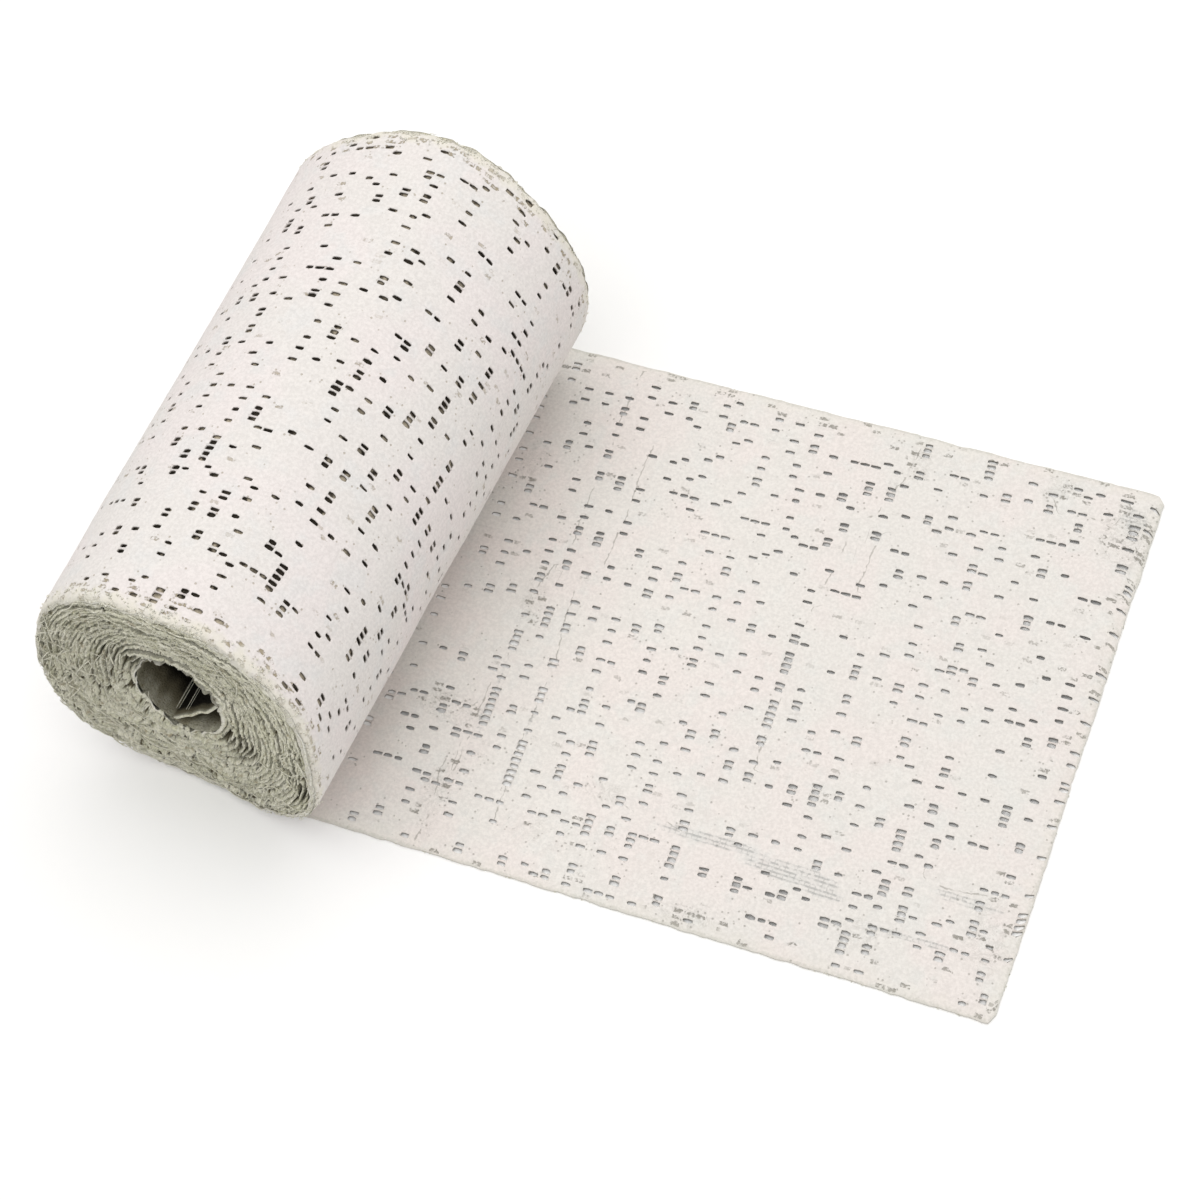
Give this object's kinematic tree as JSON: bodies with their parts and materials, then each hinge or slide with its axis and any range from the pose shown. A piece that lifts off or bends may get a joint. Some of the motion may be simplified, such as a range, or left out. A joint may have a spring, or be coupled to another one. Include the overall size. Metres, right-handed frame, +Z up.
{
  "type": "plaster bandage roll",
  "caption": "Plaster bandage: a strip of plaster-filled gauze wound into a roll round an open core, its loose end laid out flat in front of it.",
  "frame": {"origin": "middle of the bandage's footprint, on the surface that it rests on", "axes": "+X from the roll towards the cut end of the loose strip, +Y along the roll from its near end to its far end, +Z up"},
  "size_m": [0.1644, 0.1142, 0.0565],
  "materials": {
    "plaster_gauze": "matt off-white plaster on open gauze"
  },
  "bodies": {
    "root": {"bandage": "plaster_gauze"}
  },
  "joints": []
}
